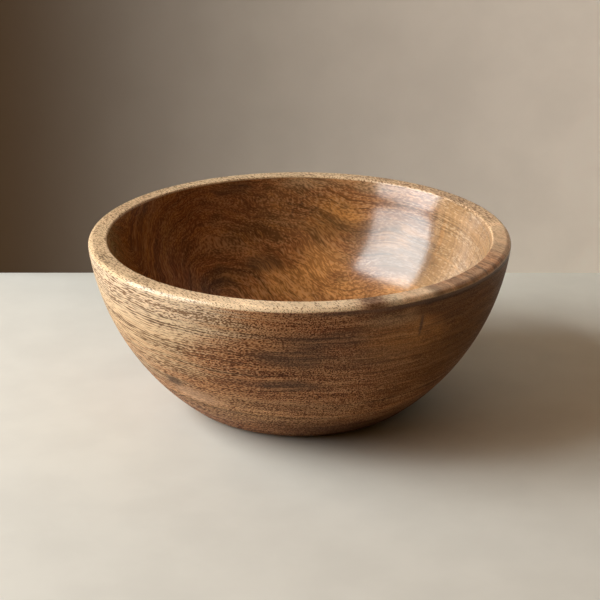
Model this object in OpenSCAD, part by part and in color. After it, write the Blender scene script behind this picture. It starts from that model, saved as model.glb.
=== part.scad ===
// Turned wooden salad bowl.
// One blank of wood is turned on a lathe into one piece: a rounded outer wall that rolls under
// to a flat foot, an open hollow with a small flat in the middle of its floor, and a thick rim
// with softened edges.
// All sizes are in millimetres and angles in degrees.

/* [Bowl] */
// Outside diameter at the widest part of the rim
bowl_d = 300; // [220:1:400]
// Height from the table to the top of the rim
bowl_h = 124; // [90:1:160]

/* [Wall] */
// Angle by which the outer wall leans outwards where it meets the rim
wall_lean = 7; // [0:0.5:20]
// Diameter of the flat in the middle of the hollow's floor
floor_flat_d = 38; // [10:1:100]
// Thickness of the floor at its centre
floor_t = 20; // [8:0.5:30]

/* [Rim] */
// Thickness of the rim across its top, rounded edges included
rim_t = 13.5; // [9:0.5:20]
// Radius of the rim's outer edge
rim_outer_round = 4; // [1:0.5:6]
// Radius of the rim's inner edge
rim_inner_round = 1.5; // [0.5:0.25:3]
// Distance by which a gentle flare under the rim widens the hollow's mouth
rim_flare_w = 1.5; // [0.25:0.25:4]
// Radius of that flare
rim_flare_r = 150; // [60:5:300]

/* [Foot] */
// Diameter of the flat foot that the bowl stands on
foot_d = 144; // [100:1:180]
// Radius by which the wall rolls under to the foot
foot_round = 22; // [3:1:30]
// Width of the ring that touches the table
foot_ring_w = 18; // [8:1:40]
// Depth of the shallow dish turned into the underside, at its centre
foot_dish_h = 1.5; // [0.5:0.25:4]

/* [Hidden] */
$fn = 240;

// Colour of the oiled wood
wood_colour = [0.60, 0.43, 0.28];
// Length by which a cutting shape runs past what it cuts
past = 5;
// Depth by which touching circles overlap, so that each arc runs into the next one
overlap = 0.005;
// Angle by which the flare's cutting shape runs past the rim's inner edge
flare_past = 5;

bowl_r = bowl_d / 2;

// Unit vector at an angle in the section's plane, and the angle of a vector there
function along(angle) = [cos(angle), sin(angle)];
function heading(v) = atan2(v[1], v[0]);

// The point at distance ra from a and rb from b, to the right when looking from a to b
function meeting(a, ra, b, rb) =
    let (
        gap = norm(b - a),
        ahead = (b - a) / gap,
        forward = (gap * gap + ra * ra - rb * rb) / (2 * gap),
        sideways = sqrt(ra * ra - forward * forward)
    )
    a + forward * ahead + sideways * [ahead[1], -ahead[0]];

// Centres of the circles that round the rim's two edges and roll the wall under to the foot
rim_outer_centre = [bowl_r - rim_outer_round, bowl_h - rim_outer_round];
rim_inner_centre = [bowl_r - rim_t + rim_inner_round, bowl_h - rim_inner_round];
foot_centre = [foot_d / 2, foot_round];

// The outer wall is one arc. It leaves the rim's outer edge at the lean angle, and its radius
// is the one that also touches the circle at the foot from outside.
wall_top = rim_outer_centre + (rim_outer_round - overlap) * along(-wall_lean);
wall_inward = along(180 - wall_lean);
foot_to_wall_top = wall_top - foot_centre;
foot_reach = foot_round - overlap;
wall_r = (foot_reach * foot_reach - foot_to_wall_top * foot_to_wall_top)
    / (2 * (foot_to_wall_top * wall_inward + foot_reach));
wall_centre = wall_top + wall_r * wall_inward;

// The hollow's side is one arc too. It starts level at the edge of the floor's flat, and would
// reach the top of the rim at a mouth that is narrower than the real one by the flare.
hollow_h = bowl_h - floor_t;
side_span = bowl_r - rim_t - rim_flare_w - floor_flat_d / 2;
side_r = (side_span * side_span + hollow_h * hollow_h) / (2 * hollow_h);
side_centre = [floor_flat_d / 2, floor_t + side_r];

// The flare is a circle inside the wall that touches the side's arc and the rim's inner edge
flare_centre = meeting(
    side_centre, side_r + rim_flare_r - overlap,
    rim_inner_centre, rim_flare_r - rim_inner_round + overlap
);
flare_top = 180 + heading(flare_centre - rim_inner_centre);
flare_bottom = 180 + heading(flare_centre - side_centre);

// The dish under the foot is part of a large sphere, and leaves the standing ring round it
dish_rim_r = foot_d / 2 - foot_ring_w;
dish_r = (dish_rim_r * dish_rim_r + foot_dish_h * foot_dish_h) / (2 * foot_dish_h);

// What lies outside a circle, between two angles: cut away, it leaves a rounded edge
module edge_round(centre, r, from, to) {
    reach = r + past;
    middle = (from + to) / 2;
    corner = reach / cos((to - from) / 2);
    translate(centre) difference() {
        polygon([[0, 0], reach * along(from), corner * along(middle), reach * along(to)]);
        circle(r = r);
    }
}

// Half section of the blank: the wall's disc between the table and the top of the rim
module outside_section() {
    intersection() {
        translate(wall_centre) circle(r = wall_r);
        square([bowl_r + past, bowl_h]);
    }
}

// Half section of the hollow, from its floor up past the rim
module hollow_section() {
    translate(side_centre) circle(r = side_r);
    translate([0, floor_t]) square([floor_flat_d / 2, 2 * side_r]);
}

// Half section of the dish in the underside
module dish_section() {
    translate([0, foot_dish_h - dish_r]) circle(r = dish_r);
}

module bowl_section() {
    difference() {
        outside_section();
        hollow_section();
        dish_section();
        edge_round(rim_outer_centre, rim_outer_round, -wall_lean, 90);
        edge_round(rim_inner_centre, rim_inner_round, 90, flare_top);
        edge_round(flare_centre, rim_flare_r, flare_top - flare_past, flare_bottom);
        edge_round(foot_centre, foot_round, -90, heading(foot_centre - wall_centre));
    }
}

module bowl() {
    color(wood_colour) rotate_extrude() bowl_section();
}

bowl();
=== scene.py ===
"""Turned wooden salad bowl: its turned shape, its oiled wood and a plain studio stage."""

from math import cos, radians, sin, tan
from types import SimpleNamespace

import bmesh
import bpy
from mathutils import Matrix, Vector


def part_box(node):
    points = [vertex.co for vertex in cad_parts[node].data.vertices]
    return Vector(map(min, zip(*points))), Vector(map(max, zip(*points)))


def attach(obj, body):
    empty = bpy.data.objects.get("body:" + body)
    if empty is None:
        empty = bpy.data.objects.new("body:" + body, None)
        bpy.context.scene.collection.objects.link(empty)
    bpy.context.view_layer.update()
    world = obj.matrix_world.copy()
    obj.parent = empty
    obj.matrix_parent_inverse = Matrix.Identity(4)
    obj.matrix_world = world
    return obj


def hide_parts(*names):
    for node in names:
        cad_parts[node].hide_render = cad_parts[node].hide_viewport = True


bl_info = {
    "name": "Turned Salad Bowl",
    "version": (1, 0, 0),
    "blender": (4, 5, 0),
    "location": "3D View > Sidebar > Bowl",
    "description": "Turns a wooden salad bowl, finishes its wood and sets it on a plain stage",
    "category": "Object",
}

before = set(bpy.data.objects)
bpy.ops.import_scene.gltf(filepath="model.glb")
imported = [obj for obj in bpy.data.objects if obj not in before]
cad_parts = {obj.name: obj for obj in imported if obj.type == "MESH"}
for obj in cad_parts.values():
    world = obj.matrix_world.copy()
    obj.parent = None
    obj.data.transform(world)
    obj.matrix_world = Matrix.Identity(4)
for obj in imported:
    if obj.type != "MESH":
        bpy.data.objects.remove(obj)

BODY = "root"
NODE = "bowl"
SLOT = "oiled_wood"
POLISH = "polish"
IMAGE_SIZE = 600

# Distance within which the ends of neighbouring bands are welded
WELD = 0.00001

# The wood's figure is laid out in millimetres, with heights that put the rim at RIM_LEVEL
MILLIMETRES = 1000.0
RIM_LEVEL = 120.0

# Patches of the wall: distance of their centres from the axis, and their reach through the wall
WALL_RADIUS = 125.0
WALL_REACH = 60.0

# Arches in the hollow: azimuth in degrees and height of the line that they bend round,
# and the share by which they are narrower on one side of it and wider on the other
ARCH_AZIMUTH = 128.0
ARCH_HEIGHT = 30.0
ARCH_SQUEEZE = 0.33

# Gap between rows of pores
ROW_GAP = 1.9

# Sheen of the oiled wood
COAT_ROUGHNESS = 0.16
COAT_IOR = 1.77
WOOD_SPECULAR = 0.12

# Matt surfaces of the stage, with the size and the darkness of their clouds
FLOOR_ROUGHNESS = 0.7
BACKDROP_ROUGHNESS = 0.9
MATT_SPECULAR = 0.2
CLOUD_SIZE = 0.05
CLOUD_TINT = (0.94, 0.94, 0.94)

# Where the floor under the lamp starts and stops to darken for the camera, and by how much
DIM_START = -0.28
DIM_END = -1.1
DIM_SHARE = 0.75

# Distance by which one of the window's lamps stands before the other
LAMP_GAP = 0.02

# Direction that the soft light comes from most
SKY_LEAN = (-0.6, 0.25, 0.75)

LOW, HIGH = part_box(NODE)
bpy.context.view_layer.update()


def length_of(label, words, default):
    """A length that a user may change."""
    return bpy.props.FloatProperty(
        name=label, description=words, default=default, min=0.0, unit="LENGTH", precision=4
    )


def angle_of(label, words, degrees):
    """An angle that a user may change."""
    return bpy.props.FloatProperty(
        name=label, description=words, default=radians(degrees), subtype="ANGLE"
    )


def colour_of(label, words, default):
    """A colour that a user may change."""
    return bpy.props.FloatVectorProperty(
        name=label, description=words, default=default, size=3, subtype="COLOR", min=0.0, max=1.0
    )


def share_of(label, words, default):
    """A share of the whole that a user may change."""
    return bpy.props.FloatProperty(
        name=label, description=words, default=default, min=0.0, max=1.0, subtype="FACTOR"
    )


def number_of(label, words, default, **kind):
    """A number of a given kind that a user may change."""
    return bpy.props.FloatProperty(name=label, description=words, default=default, **kind)


class BowlSizes(bpy.types.PropertyGroup):
    """Sizes of the turned shape."""

    diameter: length_of("Diameter", "Outside diameter at the rim", HIGH.x - LOW.x)
    height: length_of("Height", "Height from the table to the rim", HIGH.z - LOW.z)
    rim_thickness: length_of("Rim Thickness", "Width of the rim across its top", 0.0135)
    rim_outer_round: length_of("Rim Outer Round", "Radius of the rim's outer edge", 0.004)
    rim_inner_round: length_of("Rim Inner Round", "Radius of the rim's inner edge", 0.0015)
    flare_width: length_of("Flare Width", "How far the flare widens the mouth", 0.0015)
    flare_radius: length_of("Flare Radius", "Radius of the flare under the rim", 0.15)
    floor_thickness: length_of("Floor Thickness", "Thickness of the floor at its centre", 0.02)
    floor_flat: length_of("Floor Flat", "Diameter of the flat in the floor's middle", 0.038)
    foot_diameter: length_of("Foot Diameter", "Diameter of the foot", 0.144)
    foot_round: length_of("Foot Round", "Radius by which the wall rolls under to the foot", 0.022)
    foot_ring: length_of("Foot Ring", "Width of the ring that touches the table", 0.018)
    foot_dish: length_of("Foot Dish", "Depth of the dish under the foot", 0.0015)
    wall_lean: angle_of("Wall Lean", "Angle by which the outer wall leans outwards at the rim", 7.0)
    turns: bpy.props.IntProperty(
        name="Turns", description="Faces round the bowl", default=320, min=32
    )


class WoodFinish(bpy.types.PropertyGroup):
    """Colours and figure of the oiled wood."""

    straw: colour_of("Straw", "Pale wood", (0.56, 0.38, 0.21))
    rim: colour_of("Rim", "Sanded wood on the rim", (0.785, 0.60, 0.365))
    # Painted light on the rim's front, over its pale wood.
    painted_rim_light: colour_of("Crest", "Colour of the rim where it is palest", (0.905, 0.735, 0.49))
    tan: colour_of("Tan", "Colour of the pale wood in the hollow", (0.565, 0.327, 0.157))
    bleached: colour_of("Bleached", "Palest wood, high on the left", (0.725, 0.585, 0.43))
    blush: colour_of("Blush", "Pinkish wood below the knot", (0.62, 0.41, 0.28))
    heart: colour_of("Heart", "Brown wood", (0.435, 0.189, 0.071))
    russet: colour_of("Russet", "Reddish patches in the brown wood", (0.39, 0.151, 0.052))
    # Deep is partly brown wood and partly painted shade, on the outer wall's right and front.
    deep_and_shaded: colour_of("Deep", "Darkest brown wood", (0.157, 0.059, 0.011))
    # Umber is partly darker wood and partly painted shade in the hollow.
    umber: colour_of("Umber", "Darkest wood of the hollow", (0.198, 0.094, 0.032))
    amber: colour_of("Amber", "Golden patches in the brown wood", (0.635, 0.275, 0.073))
    honey: colour_of("Honey", "Golden wood low in the hollow", (0.97, 0.455, 0.145))
    # Smoke also paints the shade under the rim and at the foot.
    smoke_and_shade: colour_of("Smoke", "Dark streaks that follow the growth layers", (0.11, 0.06, 0.034))
    pore: colour_of("Pore", "Tint of the open pores over the wood round them", (0.24, 0.16, 0.10))
    fleck: colour_of("Fleck", "Pale flecks in the brown wood", (0.58, 0.335, 0.158))
    oil: colour_of("Oil", "Tint of the oil on the polished hollow", (0.815, 0.88, 0.87))
    oil_left: colour_of("Left Oil", "Tint of the oil on the left of the hollow", (0.97, 0.95, 0.66))
    fibre_angle: angle_of("Fibre Angle", "Direction of the fibres, seen from above", -52.0)
    fibre_dip: angle_of("Fibre Dip", "Angle by which the fibres rise from the level", -2.0)


class StageLook(bpy.types.PropertyGroup):
    """Camera, light and surroundings."""

    floor: colour_of("Floor", "Colour of the floor", (0.675, 0.705, 0.655))
    backdrop: colour_of("Backdrop", "Colour of the backdrop", (0.99, 0.93, 0.82))
    shaded: colour_of("Shaded", "Colour of the backdrop's shaded side", (0.056, 0.032, 0.014))
    glow: share_of("Glow", "Strength of the backdrop's own light", 0.1)
    distance: colour_of("Distance", "Colour past the floor's end", (0.36, 0.32, 0.26))
    stage_reach: length_of("Stage Reach", "Distance from the axis to the ends of the floor", 1.35)
    floor_depth: length_of("Floor Depth", "Distance from the axis to the backdrop", 0.252)
    backdrop_left: length_of("Backdrop Left", "How far left of the axis the backdrop ends", 0.28)
    backdrop_bright: length_of("Backdrop Bright", "How far right of the axis it is brightest", 0.33)
    view_elevation: angle_of("View Elevation", "Angle by which the camera looks down", 21.15)
    view_distance: length_of("View Distance", "Distance from the camera to the rim's centre", 1.2)
    lens: number_of("Lens", "Focal length in millimetres", 100.97, unit="CAMERA")
    rim_column: number_of("Rim Column", "Image column of the rim's centre", 299.63, subtype="PIXEL")
    rim_row: number_of("Rim Row", "Image row of the rim's centre", 231.75, subtype="PIXEL")
    key_azimuth: angle_of("Key Azimuth", "Direction of the window, seen from above", -170.7)
    key_elevation: angle_of("Key Elevation", "Height of the window as an angle", 27.5)
    key_distance: length_of("Key Distance", "Distance of the window", 1.6)
    key_width: angle_of("Key Width", "Width of the window as an angle", 44.2)
    key_height: angle_of("Key Height", "Height of the window's opening as an angle", 47.3)
    key_roll: angle_of("Key Roll", "Turn of the window about its own axis", 23.0)
    key_power: number_of("Key Power", "Power of the light on matt surfaces", 56.0, unit="POWER")
    key_fade: share_of("Key Fade", "Share of it left at the low front corner", 0.33)
    gleam: colour_of("Gleam", "Colour of the light that shows in the polish", (0.94, 1.0, 1.0))
    gleam_power: number_of("Gleam Power", "Power of the light in the polish", 38.5, unit="POWER")
    gleam_fade: share_of("Gleam Fade", "Share of it left at the low front corner", 0.7)
    sky: colour_of("Sky", "Colour of the soft light from above", (0.38, 0.15, 0.022))
    sky_low: colour_of("Low Sky", "Colour of the soft light on the dark side", (0.04, 0.018, 0.004))


class Value:
    """A number inside a node tree. Sums written with it become Math nodes."""

    def __init__(self, tree, socket):
        self.tree = tree
        self.socket = socket

    def calc(self, operation, *values):
        node = self.tree.nodes.new("ShaderNodeMath")
        node.operation = operation
        for socket, value in zip(node.inputs, values):
            feed(self.tree, socket, value)
        return Value(self.tree, node.outputs[0])

    def __add__(self, other):
        return self.calc("ADD", self, other)

    def __radd__(self, other):
        return self.calc("ADD", other, self)

    def __sub__(self, other):
        return self.calc("SUBTRACT", self, other)

    def __rsub__(self, other):
        return self.calc("SUBTRACT", other, self)

    def __mul__(self, other):
        return self.calc("MULTIPLY", self, other)

    def __rmul__(self, other):
        return self.calc("MULTIPLY", other, self)

    def __truediv__(self, other):
        return self.calc("DIVIDE", self, other)

    def __neg__(self):
        return self.calc("MULTIPLY", self, -1.0)

    def root(self):
        return self.calc("SQRT", self)

    def magnitude(self):
        return self.calc("ABSOLUTE", self)

    def cosine(self):
        return self.calc("COSINE", self)

    def sine(self):
        return self.calc("SINE", self)

    def angle_over(self, other):
        """Heading of the vector whose rise is this value and whose run is the other."""
        return self.calc("ARCTAN2", self, other)


def feed(tree, socket, value):
    """Puts a value on a socket: another node's output as a link, or a constant."""
    if isinstance(value, Value):
        tree.links.new(value.socket, socket)
    elif isinstance(value, bpy.types.NodeSocket):
        tree.links.new(value, socket)
    else:
        socket.default_value = value


def add_node(tree, kind, inputs=None, **settings):
    """Adds a node, with its settings, and feeds its inputs by name or place."""
    node = tree.nodes.new(kind)
    for name, setting in settings.items():
        setattr(node, name, setting)
    for key, value in (inputs or {}).items():
        feed(tree, node.inputs[key], value)
    return node


def axes(tree, vector):
    """The three numbers of a vector."""
    parts = add_node(tree, "ShaderNodeSeparateXYZ", {0: vector})
    return [Value(tree, parts.outputs[axis]) for axis in "XYZ"]


def new_group(name, kind, inputs, outputs):
    """A node group with named sockets. Returns it with its input and output nodes."""
    group = bpy.data.node_groups.new(name, kind)
    for label, socket_kind in inputs:
        group.interface.new_socket(name=label, in_out="INPUT", socket_type=socket_kind)
    for label, socket_kind in outputs:
        group.interface.new_socket(name=label, in_out="OUTPUT", socket_type=socket_kind)
    return group, group.nodes.new("NodeGroupInput"), group.nodes.new("NodeGroupOutput")


# Turned shape


def band_group():
    """A band of the turned surface. Its section is an arc, or a flat where the radius is zero."""
    group, given, made = new_group(
        "Turned Band",
        "GeometryNodeTree",
        [
            ("Start Radius", "NodeSocketFloat"),
            ("Start Height", "NodeSocketFloat"),
            ("End Radius", "NodeSocketFloat"),
            ("End Height", "NodeSocketFloat"),
            ("Arc Radius", "NodeSocketFloat"),
            ("From Angle", "NodeSocketFloat"),
            ("To Angle", "NodeSocketFloat"),
            ("Steps", "NodeSocketInt"),
            ("Turns", "NodeSocketInt"),
            ("Polish", "NodeSocketFloat"),
        ],
        [("Mesh", "NodeSocketGeometry")],
    )
    value = {socket.name: Value(group, socket) for socket in given.outputs if socket.name}
    grid = add_node(
        group,
        "GeometryNodeMeshGrid",
        {
            "Size X": 1.0,
            "Size Y": 1.0,
            "Vertices X": value["Steps"] + 1.0,
            "Vertices Y": value["Turns"] + 1.0,
        },
    )
    x, y, _ = axes(group, group.nodes.new("GeometryNodeInputPosition").outputs[0])
    along = x + 0.5
    around = (0.5 - y) * radians(360.0)
    angle = value["From Angle"] + (value["To Angle"] - value["From Angle"]) * along
    start_r, start_h = value["Start Radius"], value["Start Height"]
    arc = value["Arc Radius"]
    radius = start_r + (value["End Radius"] - start_r) * along + arc * angle.cosine()
    height = start_h + (value["End Height"] - start_h) * along + arc * angle.sine()
    turned = add_node(
        group,
        "ShaderNodeCombineXYZ",
        {"X": radius * around.cosine(), "Y": radius * around.sine(), "Z": height},
    )
    placed = add_node(
        group,
        "GeometryNodeSetPosition",
        {"Geometry": grid.outputs["Mesh"], "Position": turned.outputs[0]},
    )
    marked = add_node(
        group,
        "GeometryNodeStoreNamedAttribute",
        {"Geometry": placed.outputs[0], "Name": POLISH, "Value": value["Polish"]},
        data_type="FLOAT",
        domain="POINT",
    )
    group.links.new(marked.outputs[0], made.inputs[0])
    return group


def meeting(a, a_reach, b, b_reach):
    """The point at given distances from a and b, to the right when looking from a to b."""
    run, rise = b[0] - a[0], b[1] - a[1]
    gap = (run * run + rise * rise).root()
    forward = (gap * gap + a_reach * a_reach - b_reach * b_reach) / (gap * 2.0)
    sideways = (a_reach * a_reach - forward * forward).root()
    return (
        a[0] + (forward * run + sideways * rise) / gap,
        a[1] + (forward * rise - sideways * run) / gap,
    )


def heading(a, b):
    """Angle of the line from a to b."""
    return (b[1] - a[1]).angle_over(b[0] - a[0])


def section_bands(size):
    """The bowl's half section as arcs and flats, from the underside's centre round to the floor's.

    An arc is (centre, radius, from, to, steps, polish), a flat (start, end, steps, polish)."""
    half_turn, quarter = radians(180.0), radians(90.0)
    rim_r, rim_h = size["Diameter"] / 2.0, size["Height"]
    outer, inner, foot = size["Rim Outer Round"], size["Rim Inner Round"], size["Foot Round"]
    flare, lean = size["Flare Radius"], size["Wall Lean"]
    foot_r, flat_r = size["Foot Diameter"] / 2.0, size["Floor Flat"] / 2.0
    floor_h = size["Floor Thickness"]

    rim_outer = (rim_r - outer, rim_h - outer)
    rim_inner = (rim_r - size["Rim Thickness"] + inner, rim_h - inner)
    foot_edge = (foot_r, foot)

    top = (rim_outer[0] + outer * lean.cosine(), rim_outer[1] - outer * lean.sine())
    inward = (-lean.cosine(), lean.sine())
    run, rise = top[0] - foot_edge[0], top[1] - foot_edge[1]
    ahead = run * inward[0] + rise * inward[1] + foot
    wall_r = (foot * foot - run * run - rise * rise) / (ahead * 2.0)
    wall = (top[0] + wall_r * inward[0], top[1] + wall_r * inward[1])

    hollow_h = rim_h - floor_h
    span = rim_r - size["Rim Thickness"] - size["Flare Width"] - flat_r
    side_r = (span * span + hollow_h * hollow_h) / (hollow_h * 2.0)
    side = (flat_r, floor_h + side_r)
    flared = meeting(side, side_r + flare, rim_inner, flare - inner)
    flare_top = heading(rim_inner, flared) + half_turn
    flare_low = heading(side, flared)

    dish_h, dish_rim = size["Foot Dish"], foot_r - size["Foot Ring"]
    dish_r = (dish_rim * dish_rim + dish_h * dish_h) / (dish_h * 2.0)
    axis = dish_h * 0.0
    dish = (axis, dish_h - dish_r)

    outside, rim, inside = 0.08, 0.4, 1.0
    return [
        (dish, dish_r, quarter, heading(dish, (dish_rim, axis)), 12, outside),
        ((dish_rim, axis), (foot_r, axis), 4, outside),
        (foot_edge, foot, -quarter, heading(wall, foot_edge), 18, outside),
        (wall, wall_r, heading(wall, foot_edge), -lean, 64, outside),
        (rim_outer, outer, -lean, quarter, 12, rim),
        ((rim_outer[0], rim_h), (rim_inner[0], rim_h), 5, rim),
        (rim_inner, inner, quarter, flare_top, 8, rim),
        (flared, flare, flare_top, flare_low + half_turn, 10, inside),
        (side, side_r, flare_low, -quarter, 64, inside),
        ((flat_r, floor_h), (axis, floor_h), 6, inside),
    ]


def turning_tree():
    """Geometry Nodes that turn the bowl's section round its axis."""
    labels = [prop.name for prop in BowlSizes.bl_rna.properties if prop.type == "FLOAT"]
    tree, given, made = new_group(
        "Turned Bowl",
        "GeometryNodeTree",
        [("Geometry", "NodeSocketGeometry")]
        + [(label, "NodeSocketFloat") for label in labels]
        + [("Turns", "NodeSocketInt"), ("Material", "NodeSocketMaterial")],
        [("Geometry", "NodeSocketGeometry")],
    )
    size = {label: Value(tree, given.outputs[label]) for label in labels}
    group = band_group()
    joined = tree.nodes.new("GeometryNodeJoinGeometry")
    for band in section_bands(size):
        values = {"Turns": given.outputs["Turns"], "Polish": band[-1], "Steps": band[-2]}
        if len(band) == 6:
            centre, radius, begin, end = band[:4]
            values |= {
                "Start Radius": centre[0],
                "Start Height": centre[1],
                "End Radius": centre[0],
                "End Height": centre[1],
                "Arc Radius": radius,
                "From Angle": begin,
                "To Angle": end,
            }
        else:
            start, end = band[:2]
            values |= {
                "Start Radius": start[0],
                "Start Height": start[1],
                "End Radius": end[0],
                "End Height": end[1],
            }
        node = add_node(tree, "GeometryNodeGroup", node_tree=group)
        for name, value in values.items():
            feed(tree, node.inputs[name], value)
        tree.links.new(node.outputs[0], joined.inputs[0])
    welded = add_node(
        tree, "GeometryNodeMergeByDistance", {"Geometry": joined.outputs[0], "Distance": WELD}
    )
    smooth = add_node(tree, "GeometryNodeSetShadeSmooth", {"Geometry": welded.outputs[0]})
    real = add_node(tree, "GeometryNodeRealizeInstances", {"Geometry": smooth.outputs[0]})
    finished = add_node(
        tree,
        "GeometryNodeSetMaterial",
        {"Geometry": real.outputs[0], "Material": given.outputs["Material"]},
    )
    tree.links.new(finished.outputs[0], made.inputs[0])
    return tree


def turned_piece(name, sizes, material):
    """Runs the turning tree and returns its result as an object with a plain mesh."""
    maker = bpy.data.objects.new(name + "_maker", bpy.data.meshes.new(name + "_maker"))
    bpy.context.scene.collection.objects.link(maker)
    modifier = maker.modifiers.new("Turning", "NODES")
    tree = turning_tree()
    modifier.node_group = tree
    chosen = {"Material": material}
    for prop in sizes.bl_rna.properties:
        if prop.type in ("FLOAT", "INT"):
            chosen[prop.name] = getattr(sizes, prop.identifier)
    for item in tree.interface.items_tree:
        if item.in_out == "INPUT" and item.name in chosen:
            modifier[item.identifier] = chosen[item.name]
    maker.update_tag()
    depsgraph = bpy.context.evaluated_depsgraph_get()
    mesh = bpy.data.meshes.new_from_object(maker.evaluated_get(depsgraph))
    maker.modifiers.remove(modifier)
    bpy.data.objects.remove(maker)
    piece = bpy.data.objects.new(name, mesh)
    mesh.name = name
    bpy.context.scene.collection.objects.link(piece)
    return piece


def check_closed(piece):
    """Stops unless the mesh is one closed surface that faces outwards."""
    shape = bmesh.new()
    shape.from_mesh(piece.data)
    open_edges = sum(not edge.is_manifold for edge in shape.edges)
    volume = shape.calc_volume(signed=True)
    shape.free()
    if open_edges or volume <= 0.0:
        raise RuntimeError(f"{piece.name}: {open_edges} open edges, volume {volume}")


# Wood


def ramp(tree, value, low, high, to_low=0.0, to_high=1.0):
    """A smooth step of a value between two limits."""
    node = add_node(
        tree,
        "ShaderNodeMapRange",
        {"Value": value, "From Min": low, "From Max": high, "To Min": to_low, "To Max": to_high},
        interpolation_type="SMOOTHSTEP",
    )
    return Value(tree, node.outputs[0])


def blend(tree, share, a, b, kind="MIX"):
    """Mixes colour b over colour a."""
    node = add_node(tree, "ShaderNodeMix", data_type="RGBA", blend_type=kind)
    feed(tree, node.inputs[0], share)
    for place, colour in ((6, a), (7, b)):
        if isinstance(colour, bpy.types.NodeSocket):
            tree.links.new(colour, node.inputs[place])
        else:
            node.inputs[place].default_value = (*colour, 1.0)
    return node.outputs[2]


def vector_sum(tree, operation, a, b):
    """One step of vector arithmetic."""
    return add_node(tree, "ShaderNodeVectorMath", {0: a, 1: b}, operation=operation).outputs[0]


def stretched(tree, vector, along, across, through):
    """A vector in units of the given lengths along, across and through the wood."""
    return vector_sum(tree, "MULTIPLY", vector, (1.0 / along, 1.0 / across, 1.0 / through))


def noise(tree, vector, detail=2.0, roughness=0.5, output=0):
    """Smooth noise, one bump to each unit of the vector."""
    node = add_node(
        tree,
        "ShaderNodeTexNoise",
        {"Vector": vector, "Scale": 1.0, "Detail": detail, "Roughness": roughness},
    )
    return node.outputs[output]


def grain(tree, vector, along, across, through, detail=2.0, roughness=0.5):
    """Noise stretched along the fibres, as a number about one half."""
    spread = stretched(tree, vector, along, across, through)
    return Value(tree, noise(tree, spread, detail, roughness))


def sway(tree, vector, along, across, through, reach):
    """A slow wandering of the wood, as an offset that is zero on average."""
    wander = noise(tree, stretched(tree, vector, along, across, through), 2.0, 0.5, 1)
    centred = vector_sum(tree, "SUBTRACT", wander, (0.5, 0.5, 0.5))
    return vector_sum(tree, "MULTIPLY", centred, reach)


def layer_noise(tree, level, detail=2.0):
    """Noise that changes only from one growth layer to the next."""
    node = add_node(
        tree,
        "ShaderNodeTexNoise",
        {"W": level, "Scale": 1.0, "Detail": detail},
        noise_dimensions="1D",
    )
    return Value(tree, node.outputs[0])


def thin_lines(tree, level, width):
    """Thin lines between some of the growth layers."""
    wave = layer_noise(tree, level, 1.0) - 0.5
    return ramp(tree, wave.magnitude(), width, 0.1 * width)


def spot(tree, place, rag, azimuth, height, around, up):
    """A soft ragged patch of the wall, by its azimuth in degrees and its sizes in millimetres."""
    turn = radians(azimuth)
    local = add_node(
        tree,
        "ShaderNodeMapping",
        {
            "Vector": place,
            "Location": (WALL_RADIUS * cos(turn), WALL_RADIUS * sin(turn), height),
            "Rotation": (0.0, 0.0, turn),
            "Scale": (WALL_REACH, around, up),
        },
        vector_type="TEXTURE",
    )
    far = add_node(tree, "ShaderNodeVectorMath", {0: local.outputs[0]}, operation="LENGTH")
    return ramp(tree, Value(tree, far.outputs["Value"]) + rag, 1.0, 0.3)


def any_of(first, *others):
    """The strongest of several masks."""
    for other in others:
        first = first.calc("MAXIMUM", first, other)
    return first


def towards(x, y, azimuth):
    """How far a place lies towards an azimuth in degrees."""
    turn = radians(azimuth)
    return x * cos(turn) + y * sin(turn)


def wood_space(tree, finish):
    """Places on the bowl in millimetres, its polish, and places in the wood's own directions."""
    at = tree.nodes.new("ShaderNodeTexCoord").outputs["Object"]
    scaled = vector_sum(tree, "MULTIPLY", at, (MILLIMETRES, MILLIMETRES, MILLIMETRES))
    place = vector_sum(tree, "ADD", scaled, (0.0, 0.0, RIM_LEVEL - MILLIMETRES * HIGH.z))
    x, y, height = axes(tree, place)
    stored = add_node(tree, "ShaderNodeAttribute", attribute_name=POLISH)
    polish = Value(tree, stored.outputs["Fac"])
    inside = ramp(tree, polish, 0.7, 0.88)

    # X along the fibres, Y across them, Z through the growth layers
    turn = Matrix.Rotation(finish.fibre_dip, 3, "Y") @ Matrix.Rotation(-finish.fibre_angle, 3, "Z")
    mapped = add_node(tree, "ShaderNodeMapping", {"Vector": place, "Rotation": turn.to_euler()})
    straight = mapped.outputs[0]
    drift = sway(tree, straight, 120.0, 60.0, 45.0, (0.0, 18.0, 9.0))
    along, across, flat_level = axes(tree, vector_sum(tree, "ADD", straight, drift))

    # At the back of the hollow the layers bend into arches
    wander = sway(tree, place, 45.0, 45.0, 30.0, (26.0, 26.0, 26.0))
    arch_x, arch_y, arch_z = axes(tree, vector_sum(tree, "ADD", place, wander))
    beside = -towards(arch_x, arch_y, ARCH_AZIMUTH - 90.0)
    squeezed = beside + ARCH_SQUEEZE * beside.magnitude()
    rise = arch_z - ARCH_HEIGHT
    arch_level = (squeezed * squeezed + rise * rise).root()
    bent = inside * ramp(tree, y, 0.0, 50.0) * ramp(tree, x, 80.0, 10.0)
    level = flat_level + (arch_level - flat_level) * bent
    joined = add_node(tree, "ShaderNodeCombineXYZ", {"X": along, "Y": across, "Z": level})
    waver = sway(tree, straight, 40.0, 22.0, 22.0, (0.0, 2.5, 2.5))
    wood = vector_sum(tree, "ADD", joined.outputs[0], waver)
    return SimpleNamespace(
        place=place,
        x=x,
        y=y,
        height=height,
        polish=polish,
        inside=inside,
        bent=bent,
        level=level,
        wood=wood,
    )


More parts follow.
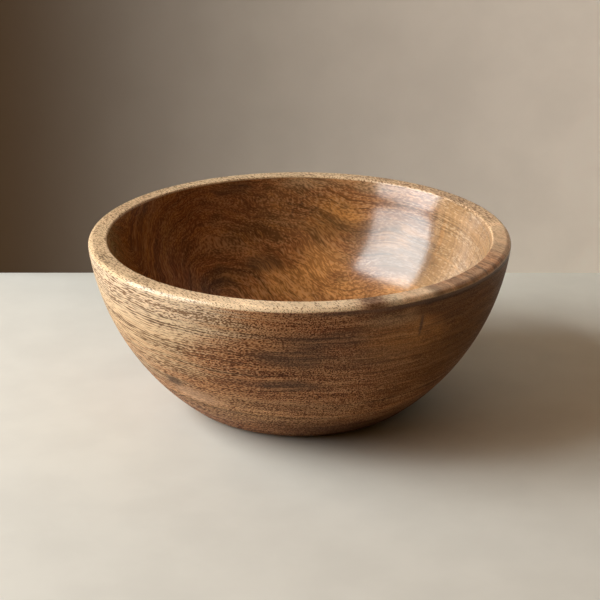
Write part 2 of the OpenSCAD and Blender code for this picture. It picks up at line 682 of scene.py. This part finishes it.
def wood_figure(tree, space):
    """The patterns that run through the wood."""
    wood, level = space.wood, space.level
    cloud = grain(tree, wood, 70.0, 30.0, 22.0, 3.0)
    streaks = grain(tree, wood, 120.0, 40.0, 2.8, 3.0, 0.6)
    mottle = grain(tree, wood, 13.0, 6.0, 4.0, 2.0)
    ridge = grain(tree, space.place, 15.0, 15.0, 10.0, 2.0) - 0.5
    row_turn = axes(tree, wood)[2] * (radians(360.0) / ROW_GAP)
    return SimpleNamespace(
        cloud=cloud,
        rag=(cloud - 0.5) * 1.1,
        streaks=streaks,
        edge=(streaks - 0.5) * 95.0 + (cloud - 0.5) * 30.0,
        mottle=mottle,
        layers=layer_noise(tree, level / 8.0, 3.0),
        fine_layers=layer_noise(tree, level / 1.7 + 40.0, 1.0),
        fine_dashes=grain(tree, wood, 6.0, 0.85, 0.56, 0.3),
        long_dashes=grain(tree, wood, 14.0, 1.2, 0.5, 1.0),
        hatching=grain(tree, wood, 4.0, 1.7, 0.9, 1.0),
        pits=grain(tree, wood, 2.8, 0.68, 0.68, 0.0),
        blotch=grain(tree, wood, 44.0, 22.0, 8.0, 3.0, 0.6),
        stripes=grain(tree, wood, 40.0, 4.0, 40.0, 1.0),
        crackle=ramp(tree, ridge.magnitude(), 0.016, 0.004),
        rows=(row_turn + 7.0 * mottle).sine(),
        lines=thin_lines(tree, level / 7.0 + 90.0, 0.035) * ramp(tree, cloud, 0.35, 0.6),
        pale_lines=thin_lines(tree, level / 16.0 + 30.0, 0.03) * ramp(tree, cloud, 0.6, 0.4),
    )


def wood_zones(tree, space, figure):
    """Pale wood on the left, on the hollow's right and on the rim; deep brown wood with painted
    shade on the outer wall's right.
    """
    x, y, height, inside, edge = space.x, space.y, space.height, space.inside, figure.edge
    radius = (x * x + y * y).root()
    rightwards = towards(x, y, 10.0)
    left = ramp(tree, towards(x, y, 212.0) + 0.15 * (height - 60.0) + edge, 100.0, 140.0)
    right = ramp(tree, rightwards / radius + 0.0012 * edge, 0.84, 0.94) * inside
    right = right * ramp(tree, rightwards + 0.35 * edge, 55.0, 88.0)
    rim = ramp(tree, height, 116.4, 117.8) * (1.0 - inside)
    return SimpleNamespace(
        left=left,
        right=right,
        ribs=layer_noise(tree, towards(x, y, 100.0) / radius * 30.0 + 0.02 * edge),
        rim=rim,
        pale=any_of(left, right, rim),
        # Darker towards the outer wall's right: partly brown wood, partly painted shade.
        deep_and_shaded=ramp(tree, towards(x, y, -30.0) + 0.5 * edge, 85.0, 135.0) * (1.0 - inside),
    )


def wood_patches(tree, space, figure, zones):
    """Soft patches of the wall, each by its azimuth, its height and its two sizes."""

    def patch(azimuth, height, around, up):
        return spot(tree, space.place, figure.rag, azimuth, height, around, up)

    smoky = any_of(
        patch(-85.0, 96.0, 42.0, 15.0),
        patch(-91.0, 83.0, 40.0, 13.0),
        patch(-96.0, 59.0, 46.0, 7.0),
        patch(-70.0, 80.0, 40.0, 13.0) * 0.6,
        patch(105.0, 58.0, 26.0, 8.0),
        patch(124.0, 53.0, 42.0, 10.0),
        patch(111.0, 113.0, 26.0, 8.0) * 0.8,
    )
    golden = any_of(
        patch(76.0, 92.0, 36.0, 22.0),
        patch(-62.0, 92.0, 44.0, 24.0) * 0.7,
        patch(33.4, 94.0, 5.0, 22.0) * 0.5,
    )
    ruddy = any_of(
        patch(95.0, 58.0, 26.0, 9.0),
        patch(74.0, 49.0, 14.0, 8.0),
        patch(74.0, 84.0, 34.0, 14.0),
        patch(-112.0, 80.0, 46.0, 17.0) * 0.75,
        patch(42.0, 95.0, 18.0, 26.0) * 0.5,
        patch(-71.0, 119.0, 17.0, 9.0),
    )
    honey = any_of(
        patch(84.0, 50.0, 60.0, 24.0),
        patch(70.0, 43.0, 44.0, 16.0),
        patch(100.0, 40.0, 42.0, 14.0),
        patch(44.0, 46.0, 50.0, 16.0),
    )
    # Darker patches of the hollow: partly darker wood, partly painted shade.
    shady = any_of(
        patch(50.0, 76.0, 44.0, 44.0),
        patch(98.0, 98.0, 52.0, 20.0) * 0.25,
        patch(107.0, 81.0, 36.0, 15.0),
        patch(79.0, 82.0, 22.0, 10.0) * 0.8,
        patch(126.0, 53.0, 40.0, 10.0),
    )
    # Paler wood, with painted light by the hollow's highlight and on the hollow's shaded back left.
    paler_and_painted_light = any_of(
        patch(-106.0, 105.0, 32.0, 7.0),
        patch(66.0, 114.0, 18.0, 8.0),
        patch(86.0, 115.0, 36.0, 7.0),
        patch(124.0, 79.0, 36.0, 18.0) * 0.35,
        patch(139.0, 84.0, 30.0, 30.0) * 0.4,
        patch(-66.0, 106.0, 30.0, 9.0) * 0.8,
        patch(-104.0, 103.0, 36.0, 9.0) * 0.6,
    )
    blots = any_of(
        patch(-71.0, 119.0, 12.0, 12.0),
        patch(-52.5, 119.0, 9.0, 12.0),
        patch(134.0, 50.0, 40.0, 9.0) * 0.6,
    )
    rim_back = any_of(
        patch(38.0, 119.0, 105.0, 14.0) * 0.42,
        patch(152.0, 119.0, 60.0, 14.0) * 0.25,
    )
    # Painted light: the lower left of the wall is paler, as if lit from the floor.
    foot_glow = any_of(
        patch(-118.0, 24.0, 92.0, 26.0),
        patch(-86.0, 32.0, 60.0, 18.0) * 0.5,
    )
    stripes = ramp(tree, figure.stripes, 0.46, 0.60)
    return SimpleNamespace(
        smoky=smoky,
        golden=golden,
        ruddy=ruddy,
        honey=honey,
        shady=shady,
        paler_and_painted_light=paler_and_painted_light,
        blots=blots,
        smooth=patch(50.0, 76.0, 50.0, 48.0) * space.inside,
        foot_glow=foot_glow,
        # Painted shade on the upper front of the wall.
        painted_front_shade=patch(-90.0, 84.0, 58.0, 36.0),
        check=patch(-57.5, 98.0, 2.2, 14.0),
        knot=patch(-133.0, 45.0, 11.0, 5.5),
        halo=patch(-126.0, 35.0, 26.0, 10.0),
        cracked=figure.crackle * space.inside * patch(86.0, 98.0, 40.0, 18.0),
        rim_bands=patch(-32.0, 119.0, 70.0, 14.0) * stripes * zones.rim,
        rim_back=rim_back,
        rim_right=patch(-34.0, 119.0, 82.0, 14.0),
        rim_clean=patch(-92.0, 119.0, 52.0, 14.0) * zones.rim,
    )


def wood_dark_marks_and_shade(tree, space, figure, zones, patches):
    """Dark marks: streaks, the knot and the check, with painted shade under the rim and at the
    foot.
    """
    x, y, height = space.x, space.y, space.height
    streaky = (1.0 - zones.pale) * ramp(tree, figure.streaks, 0.60, 0.78) * 0.4
    # Painted shade: a thin dark line under the rim's outer edge on the right.
    under_rim = ramp(tree, height, 112.8, 115.0) * ramp(tree, height, 117.4, 116.2)
    under_rim = under_rim * (1.0 - space.inside) * ramp(tree, towards(x, y, -40.0), 70.0, 120.0)
    # Painted shade: the wall's front right darkens towards the foot.
    foot_shade = ramp(tree, height, 32.0, 3.0) * ramp(tree, towards(x, y, -35.0), 20.0, 80.0)
    return any_of(
        patches.smoky * ramp(tree, figure.streaks, 0.0, 0.70),
        streaky,
        patches.check,
        patches.knot,
        patches.blots * 0.8,
        foot_shade * 0.95,
        patches.rim_bands * 0.7,
        under_rim * 0.8,
        patches.cracked * 0.7,
    )


def wood_colour(tree, finish, space, figure, zones, patches, smoke_and_shade):
    """Colour of the wood before its pores: one tint over another, the oil, and the layers' tone."""
    x, y, height, inside = space.x, space.y, space.height, space.inside
    rim, pale, ruddy = zones.rim, zones.pale, patches.ruddy
    # Painted light: the rim's pale wood is made paler towards its front.
    painted_rim_light = rim * ramp(tree, towards(x, y, -80.0), 80.0, 135.0)
    high_left = zones.left * (1.0 - rim) * ramp(tree, height, 75.0, 115.0)
    brown_hollow = inside * (1.0 - zones.right)
    body = blend(tree, ramp(tree, figure.cloud, 0.38, 0.64), finish.heart, finish.russet)
    for share, colour in (
        (zones.deep_and_shaded * 0.95, finish.deep_and_shaded),
        (pale, finish.straw),
        (zones.right, finish.tan),
        (rim, finish.rim),
        (painted_rim_light, finish.painted_rim_light),
        (rim * patches.rim_back, finish.heart),
        (0.6 * high_left, finish.bleached),
        (patches.rim_right * rim * 0.8, finish.heart),
        (ruddy * 0.9, finish.russet),
        (patches.golden * 0.8, finish.amber),
        # Painted light at the lower left of the foot, in the fleck colour.
        (patches.foot_glow * 0.7, finish.fleck),
        (patches.halo * 0.5, finish.blush),
        (patches.painted_front_shade * (1.0 - pale) * 0.28, finish.deep_and_shaded),
        (patches.paler_and_painted_light * 0.45, finish.straw),
        # Umber darkens the hollow's back and right, under its highlight too: partly darker wood,
        # partly painted shade.
        (inside * any_of(patches.shady * 0.65, patches.smooth * 0.9), finish.umber),
        (brown_hollow * ramp(tree, figure.blotch, 0.50, 0.66) * 0.6, finish.umber),
        (brown_hollow * ramp(tree, figure.blotch, 0.50, 0.34) * 0.35, finish.amber),
        (inside * patches.honey * (1.0 - 0.8 * ruddy) * 0.85, finish.honey),
        (smoke_and_shade * 0.85, finish.smoke_and_shade),
    ):
        body = blend(tree, share, body, colour)
    body = blend(tree, inside, body, finish.oil, "MULTIPLY")
    body = blend(tree, inside * ramp(tree, x, -75.0, -115.0), body, finish.oil_left, "MULTIPLY")
    shade = 1.0 + (0.45 - 0.1 * space.bent) * (figure.layers - 0.5)
    shade = shade + 0.9 * zones.right * (zones.ribs - 0.5)
    shade = shade + 0.25 * (figure.fine_layers - 0.5) + 0.40 * (figure.mottle - 0.5)
    shade = shade - 0.35 * figure.lines + 0.35 * figure.pale_lines
    tone = add_node(tree, "ShaderNodeCombineColor", {0: shade, 1: shade, 2: shade})
    return blend(tree, 1.0, body, tone.outputs[0], "MULTIPLY")


def wood_pores(tree, space, figure, zones, patches):
    """Masks of the pores and the pale flecks: dashes along the fibres, and dots across them."""
    inside, left, rim = space.inside, zones.left, zones.rim
    upper = ramp(tree, space.height, 85.0, 112.0)
    dashes = figure.fine_dashes
    for other, share in (
        (figure.long_dashes, left * (0.9 - 0.6 * upper)),
        (figure.hatching, 0.85 * inside),
        (figure.pits, rim),
    ):
        dashes = dashes + (other - dashes) * share
    row_share = 0.04 + 0.03 * left * (1.0 - 0.5 * upper) - 0.04 * zones.deep_and_shaded
    crowding = row_share * (1.0 - inside) * figure.rows
    crowding = crowding + 0.6 * (figure.streaks - 0.5) + 0.2 * (figure.layers - 0.5)
    marks = dashes + crowding * (1.0 - 0.8 * rim)
    marks = marks - 0.05 * rim - 0.09 * patches.rim_clean - 0.02 * left
    return ramp(tree, marks, 0.475, 0.56), ramp(tree, marks, 0.44, 0.34)


def wood_material(finish):
    """Oiled wood with pale and brown zones, growth layers, smoky streaks, patches and pores, and
    some painted light and shade.
    """
    material = bpy.data.materials.new(SLOT)
    material.use_nodes = True
    tree = material.node_tree
    shader = tree.nodes["Principled BSDF"]
    space = wood_space(tree, finish)
    figure = wood_figure(tree, space)
    zones = wood_zones(tree, space, figure)
    patches = wood_patches(tree, space, figure, zones)
    smoke_and_shade = wood_dark_marks_and_shade(tree, space, figure, zones, patches)
    pores, flecks = wood_pores(tree, space, figure, zones, patches)
    inside, polish = space.inside, space.polish

    # Flecks brighten the wood and pores darken it, less where it is smooth or dark
    body = wood_colour(tree, finish, space, figure, zones, patches, smoke_and_shade)
    quiet = 1.0 - inside * (0.3 + 0.5 * patches.ruddy)
    quiet = quiet * (1.0 - 0.85 * smoke_and_shade) * (1.0 - 0.8 * patches.smooth)
    fleck = blend(tree, zones.pale, finish.fleck, finish.rim)
    body = blend(tree, flecks * (0.62 - 0.50 * zones.deep_and_shaded) * quiet, body, fleck)
    depth = pores
    for mask, loss in (
        (zones.deep_and_shaded, 0.55),
        (inside, 0.45),
        (zones.right, 0.7),
        (patches.smooth, 0.9),
        (patches.halo, 0.5),
        (zones.left, 0.1),
        (smoke_and_shade, 0.4),
        (zones.rim, 0.15),
    ):
        depth = depth * (1.0 - loss * mask)
    body = blend(tree, depth, body, finish.pore, "MULTIPLY")
    tree.links.new(body, shader.inputs["Base Color"])

    # The hollow is polished, except on its left, the outside is satin, and open pores are dull
    worn = ramp(tree, space.x, -100.0, 20.0, 0.05, 1.0)
    roughness = 0.52 - 0.20 * polish + 0.10 * pores + 0.10 * (figure.mottle - 0.5)
    coat = polish * (1.0 - inside * (1.0 - worn)) * (1.0 - 0.15 * pores)
    feed(tree, shader.inputs["Roughness"], roughness)
    feed(tree, shader.inputs["Coat Weight"], coat)
    shader.inputs["Coat Roughness"].default_value = COAT_ROUGHNESS
    shader.inputs["Coat IOR"].default_value = COAT_IOR
    shader.inputs["Specular IOR Level"].default_value = WOOD_SPECULAR

    # Pores sink in and the wood between them stands up a little
    relief = figure.fine_dashes * 0.3 - pores
    bump = add_node(tree, "ShaderNodeBump", {"Strength": 0.3, "Distance": 0.0002, "Height": relief})
    tree.links.new(bump.outputs[0], shader.inputs["Normal"])
    return material


# Stage


def cloudy_group():
    """A colour with a faint cloudy tone."""
    group, given, made = new_group(
        "Cloudy Tone",
        "ShaderNodeTree",
        [("Place", "NodeSocketVector"), ("Colour", "NodeSocketColor")],
        [("Colour", "NodeSocketColor")],
    )
    plain = given.outputs["Colour"]
    cloud = grain(group, given.outputs["Place"], CLOUD_SIZE, CLOUD_SIZE, CLOUD_SIZE, 4.0)
    darker = blend(group, 1.0, plain, CLOUD_TINT, "MULTIPLY")
    tone = blend(group, ramp(group, cloud, 0.3, 0.7), darker, plain)
    group.links.new(tone, made.inputs[0])
    return group


def matt_material(name, group, colour, roughness):
    """A matt material. Returns it with its node tree, its cloudy tone and its places' X."""
    material = bpy.data.materials.new(name)
    material.use_nodes = True
    tree = material.node_tree
    at = tree.nodes.new("ShaderNodeTexCoord").outputs["Object"]
    toned = add_node(tree, "ShaderNodeGroup", node_tree=group)
    feed(tree, toned.inputs["Place"], at)
    toned.inputs["Colour"].default_value = (*colour, 1.0)
    shader = tree.nodes["Principled BSDF"]
    shader.inputs["Roughness"].default_value = roughness
    shader.inputs["Specular IOR Level"].default_value = MATT_SPECULAR
    return material, tree, toned.outputs["Colour"], axes(tree, at)[0]


def floor_material(look, group):
    """The pale floor. Under the lamp the camera sees it darker, so that it keeps its tone."""
    material, tree, tone, x = matt_material("pale_floor", group, look.floor, FLOOR_ROUGHNESS)
    seen = Value(tree, tree.nodes.new("ShaderNodeLightPath").outputs["Is Camera Ray"])
    dimming = seen * ramp(tree, x, DIM_START, DIM_END, 0.0, DIM_SHARE)
    tone = blend(tree, dimming, tone, (0.0, 0.0, 0.0))
    feed(tree, tree.nodes["Principled BSDF"].inputs["Base Color"], tone)
    return material


def backdrop_material(look, group):
    """The backdrop. It darkens towards the left, glows a little, and is clear from behind."""
    material, tree, tone, x = matt_material("backdrop", group, look.backdrop, BACKDROP_ROUGHNESS)
    shader = tree.nodes["Principled BSDF"]
    lit = ramp(tree, x, -look.backdrop_left, look.backdrop_bright)
    tone = blend(tree, lit, look.shaded, tone)
    feed(tree, shader.inputs["Base Color"], tone)
    feed(tree, shader.inputs["Emission Color"], tone)
    shader.inputs["Emission Strength"].default_value = look.glow
    behind = tree.nodes.new("ShaderNodeNewGeometry").outputs["Backfacing"]
    clear = tree.nodes.new("ShaderNodeBsdfTransparent").outputs[0]
    mixed = add_node(tree, "ShaderNodeMixShader", {0: behind, 1: shader.outputs[0], 2: clear})
    tree.links.new(mixed.outputs[0], tree.nodes["Material Output"].inputs["Surface"])
    return material


def flat_sheet(name, corners, material):
    """A flat four-sided stage surface."""
    mesh = bpy.data.meshes.new(name)
    mesh.from_pydata(corners, [], [(0, 1, 2, 3)])
    mesh.materials.append(material)
    sheet = bpy.data.objects.new(name, mesh)
    bpy.context.scene.collection.objects.link(sheet)


def make_camera(look):
    """A camera that shows the rim's centre where the photograph does."""
    data = bpy.data.cameras.new("camera")
    data.sensor_width = 36.0
    data.lens = look.lens
    data.clip_start = 0.05
    camera = bpy.data.objects.new("camera", data)
    bpy.context.scene.collection.objects.link(camera)
    tilt = look.view_elevation
    back = Vector((0.0, -cos(tilt), sin(tilt)))
    up = Vector((0.0, sin(tilt), cos(tilt)))
    right = Vector((1.0, 0.0, 0.0))
    middle = IMAGE_SIZE / 2
    pixel = look.view_distance * data.sensor_width / (data.lens * IMAGE_SIZE)
    offset = (middle - look.rim_column) * pixel * right + (look.rim_row - middle) * pixel * up
    camera.location = Vector((0.0, 0.0, HIGH.z)) + look.view_distance * back + offset
    camera.rotation_euler = (radians(90.0) - tilt, 0.0, 0.0)
    bpy.context.scene.camera = camera


def make_window(look, name, power, kept, distance):
    """One large soft light, as from a window. Its low front corner keeps a share of its power."""
    data = bpy.data.lights.new(name, "AREA")
    data.shape = "RECTANGLE"
    data.size = 2.0 * distance * tan(look.key_width / 2.0)
    data.size_y = 2.0 * distance * tan(look.key_height / 2.0)
    data.energy = power
    data.use_nodes = True
    tree = data.node_tree
    across, along, _ = axes(tree, tree.nodes.new("ShaderNodeNewGeometry").outputs["Parametric"])
    strength = ramp(tree, across - along, 0.0, 0.5, 1.0, kept)
    feed(tree, tree.nodes["Emission"].inputs["Strength"], strength)
    light = bpy.data.objects.new(name, data)
    bpy.context.scene.collection.objects.link(light)
    azimuth, elevation = look.key_azimuth, look.key_elevation
    level = cos(elevation)
    outwards = Vector((level * cos(azimuth), level * sin(azimuth), sin(elevation)))
    light.location = Vector((0.0, 0.0, HIGH.z)) + distance * outwards
    facing = outwards.to_track_quat("Z", "Y").to_matrix()
    light.rotation_euler = (facing @ Matrix.Rotation(look.key_roll, 3, "Z")).to_euler()
    return light


def make_key_light(look):
    """The window's light in two lamps: one lights matt surfaces, the other shows in the polish."""
    key = make_window(look, "key", look.key_power, look.key_fade, look.key_distance)
    key.visible_glossy = False
    nearer = look.key_distance - LAMP_GAP
    gleam = make_window(look, "gleam", look.gleam_power, look.gleam_fade, nearer)
    gleam.visible_diffuse = False
    gleam.data.color = look.gleam


def make_sky(look):
    """Soft light from all sides, stronger from above and from the window's side."""
    world = bpy.data.worlds.new("sky")
    world.use_nodes = True
    bpy.context.scene.world = world
    tree = world.node_tree
    x, y, z = axes(tree, tree.nodes.new("ShaderNodeTexCoord").outputs["Generated"])
    rise = SKY_LEAN[2] * z + SKY_LEAN[0] * x + SKY_LEAN[1] * y
    colour = blend(tree, ramp(tree, rise, 0.0, 0.95), look.sky_low, look.sky)
    seen = tree.nodes.new("ShaderNodeLightPath").outputs["Is Camera Ray"]
    colour = blend(tree, seen, colour, look.distance)
    feed(tree, tree.nodes["Background"].inputs["Color"], colour)


class BOWL_OT_turn(bpy.types.Operator):
    """Turn the bowl and finish its wood."""

    bl_idname = "bowl.turn"
    bl_label = "Turn Bowl"

    def execute(self, context):
        scene = context.scene
        piece = turned_piece("turned_bowl", scene.bowl_sizes, wood_material(scene.bowl_wood))
        check_closed(piece)
        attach(piece, BODY)
        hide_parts(NODE)
        return {"FINISHED"}


class BOWL_OT_stage(bpy.types.Operator):
    """Set the floor, backdrop, light and camera."""

    bl_idname = "bowl.stage"
    bl_label = "Set Stage"

    def execute(self, context):
        look = context.scene.bowl_stage
        wide, tall = look.stage_reach, look.stage_reach
        floor = [(-wide, -wide, 0.0), (wide, -wide, 0.0), (wide, wide, 0.0), (-wide, wide, 0.0)]
        left, far = -look.backdrop_left, look.floor_depth
        wall = [(left, far, 0.0), (wide, far, 0.0), (wide, far, tall), (left, far, tall)]
        group = cloudy_group()
        flat_sheet("floor", floor, floor_material(look, group))
        flat_sheet("backdrop", wall, backdrop_material(look, group))
        make_camera(look)
        make_key_light(look)
        make_sky(look)
        context.scene.view_settings.view_transform = "Standard"
        return {"FINISHED"}


class BOWL_PT_panel(bpy.types.Panel):
    """Panel that lists the bowl's sizes, finish and stage."""

    bl_idname = "BOWL_PT_panel"
    bl_label = "Salad Bowl"
    bl_space_type = "VIEW_3D"
    bl_region_type = "UI"
    bl_category = "Bowl"

    def draw(self, context):
        scene = context.scene
        for group, operator in (
            (scene.bowl_sizes, None),
            (scene.bowl_wood, BOWL_OT_turn.bl_idname),
            (scene.bowl_stage, BOWL_OT_stage.bl_idname),
        ):
            box = self.layout.box()
            for prop in group.bl_rna.properties:
                if prop.identifier not in ("rna_type", "name"):
                    box.prop(group, prop.identifier)
            if operator:
                box.operator(operator)


CLASSES = (BowlSizes, WoodFinish, StageLook, BOWL_OT_turn, BOWL_OT_stage, BOWL_PT_panel)
SETTINGS = {"bowl_sizes": BowlSizes, "bowl_wood": WoodFinish, "bowl_stage": StageLook}


def register():
    for cls in CLASSES:
        bpy.utils.register_class(cls)
    for name, group in SETTINGS.items():
        setattr(bpy.types.Scene, name, bpy.props.PointerProperty(type=group))


def unregister():
    for name in SETTINGS:
        delattr(bpy.types.Scene, name)
    for cls in reversed(CLASSES):
        bpy.utils.unregister_class(cls)


def main():
    register()
    bpy.ops.bowl.stage()
    bpy.ops.bowl.turn()


if __name__ == "__main__":
    main()
